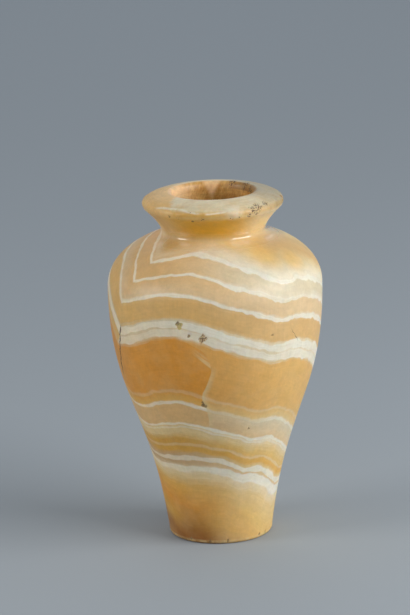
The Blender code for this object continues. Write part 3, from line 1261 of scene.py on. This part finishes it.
# %% Pits and soil
# Azimuth, height in mm and reach in mm of each patch of specks
LIP_SPECKS = [(34, 268.6, 7), (40, 269.6, 8.5), (50, 270.6, 6.5)]
UNDER_LIP_SPECKS = [(-38, 264.5, 3.4), (-30, 263.8, 3.2), (-18.6, 268.6, 2), (-9, 263.6, 3.4)]
UNDER_LIP_SPECKS += [(3.5, 268.6, 1.8), (14.7, 263, 3.2), (22, 263.5, 4.2), (30, 264.5, 5)]
UNDER_LIP_SPECKS += [(37, 265.5, 5)]
MOUTH_SPECKS = [
    (round_axis(151, 0.0345, 272.8), 8.5),
    (round_axis(128, 0.034, 271.5), 9),
    (round_axis(110, 0.033, 269.5), 11),
]
# How many grains a metre holds, and how much of a patch they cover
MOUTH_GRAINS = {"Scale": 1050, "Cover": 0.29}
LIP_GRAINS = {"Scale": 900, "Cover": 0.26}
PIT_GRAINS = {"Scale": 900, "Cover": 0.27}
PIT_SOIL = 0.4


def speckled(where, grains):
    """Specks of soil that thin out towards the edge of where they may lie."""
    return grouped(speckling, {"Vector": spot, "Where": where, **grains})["Mask"]


def near(*rows):
    """Patches of the outside, each given as its azimuth, its height in mm and its reach in mm."""
    return patches(spot, [(on_skin(at, up), reach) for at, up, reach in rows])


pores = near(*LIP_SPECKS)
dots = near(*UNDER_LIP_SPECKS)
specks = speckled(higher(pores, patches(spot, MOUTH_SPECKS)), MOUTH_GRAINS)
specks = higher(specks, speckled(dots, LIP_GRAINS))
sunk = place("ShaderNodeAttribute", attribute_name="sunk").outputs["Fac"]
pit_soil = times(speckled(sunk, PIT_GRAINS), PIT_SOIL)
ragged_pit = times_plus(swing(spot, 640, 3, 0.6), 0.9, sunk)
pit_grains = eased(noise(spot, 880, 2), 0.45, 0.54)
cluster_fill = mixed(pit_grains, PIT_TAN, PIT_DARK)
corner_fill = mixed(near((-21.2, 190.2, 3.2)), PIT_OLIVE, PIT_DARK)
pit_fill = mixed(near((-7.6, 178, 13)), PIT_PLAIN, cluster_fill)
pit_fill = mixed(near((-20, 188, 12)), pit_fill, corner_fill)
in_pit = times(eased(ragged_pit, 0.2, 0.5, 0, 0.85), eased(sunk, 0, 0.1))
colour = mixed(in_pit, colour, pit_fill)
soiled = higher(specks, pit_soil)
colour = mixed(soiled, colour, SOIL)
colour = mixed(cracked, colour, CRACK_TONE)
fill(shader.inputs["Base Color"], colour)
tell("polished alabaster")

# %% The shine of the outside
GLOSS = 0.12
DIRT_ROUGHNESS = 0.8
SCATTER_WEIGHT = 0.35
SCATTER_DEPTH = 0.006
SCATTER_SHARES = (1, 0.55, 0.25)

near_root = within(height, 235, 242, 245, 252)
near_root = times(near_root, eased(azimuth, -66, -46), round_back)
roughness = between(near_root, times_plus(mottle, 0.12, 0.38), GLOSS)
dirt = higher(soiled, cracked)
roughness = higher(roughness, times(dirt, DIRT_ROUGHNESS))
relief = minus(times(mottle, 0.6), dirt)
bump = place("ShaderNodeBump", {"Height": relief, "Strength": 0.3, "Distance": 0.0004})
fill(shader.inputs["Roughness"], roughness)
fill(shader.inputs["Coat Weight"], near_root)
fill(shader.inputs["Coat Roughness"], GLOSS)
fill(shader.inputs["Normal"], bump.outputs[0])


def scatter(inputs):
    """Lets light a few millimetres into the stone."""
    inputs["Subsurface Weight"].default_value = SCATTER_WEIGHT
    inputs["Subsurface Scale"].default_value = SCATTER_DEPTH
    inputs["Subsurface Radius"].default_value = SCATTER_SHARES


scatter(shader.inputs)
tell("polished alabaster")

# %% [markdown]
# ## The drilled inside
#
# Nobody polished the inside. The drill and its sand left faint rings round the bore, a matt skin and
# some soil. The same layers run through it, so the same groups are used with a duller finish.

# %% The drilled inside
INSIDE_WHITE = 0.7
RING_SOIL = 0.25

shader, spot, stack = take_up(drilled)
height = stack["Height"]
colour = grouped(toning, {"Layer": stack["Layer"], "Rightward": 0.4})["Colour"]
fed = {"Layer": stack["Layer"], "Growth": 0.5, "Fullness": 1, "Wavy Line": 0.5}
white = grouped(whitening, fed)["Mask"]
colour = mixed(times(white, INSIDE_WHITE), colour, TONES["bone"])
bore = eased(height, 225, 255, 0.3, 1)
colour = mixed(bore, colour, mouth_tones(stack["Azimuth"], height, spot))
drill_rings = noise(point_at(z=height), 0.55, 3, 0.7)
colour = mixed(eased(drill_rings, 0.45, 0.7, 0, RING_SOIL), colour, SOIL)
colour = mixed(speckled(patches(spot, MOUTH_SPECKS), MOUTH_GRAINS), colour, SOIL)
bump = place("ShaderNodeBump", {"Height": drill_rings, "Strength": 0.6, "Distance": 0.0006})
fill(shader.inputs["Base Color"], colour)
fill(shader.inputs["Roughness"], eased(drill_rings, 0.3, 0.7, 0.6, 0.75))
fill(shader.inputs["Normal"], bump.outputs[0])
scatter(shader.inputs)
tell("drilled alabaster")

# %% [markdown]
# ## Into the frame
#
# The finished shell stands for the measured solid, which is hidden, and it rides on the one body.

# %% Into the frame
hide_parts("vase")
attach(jar, "root")
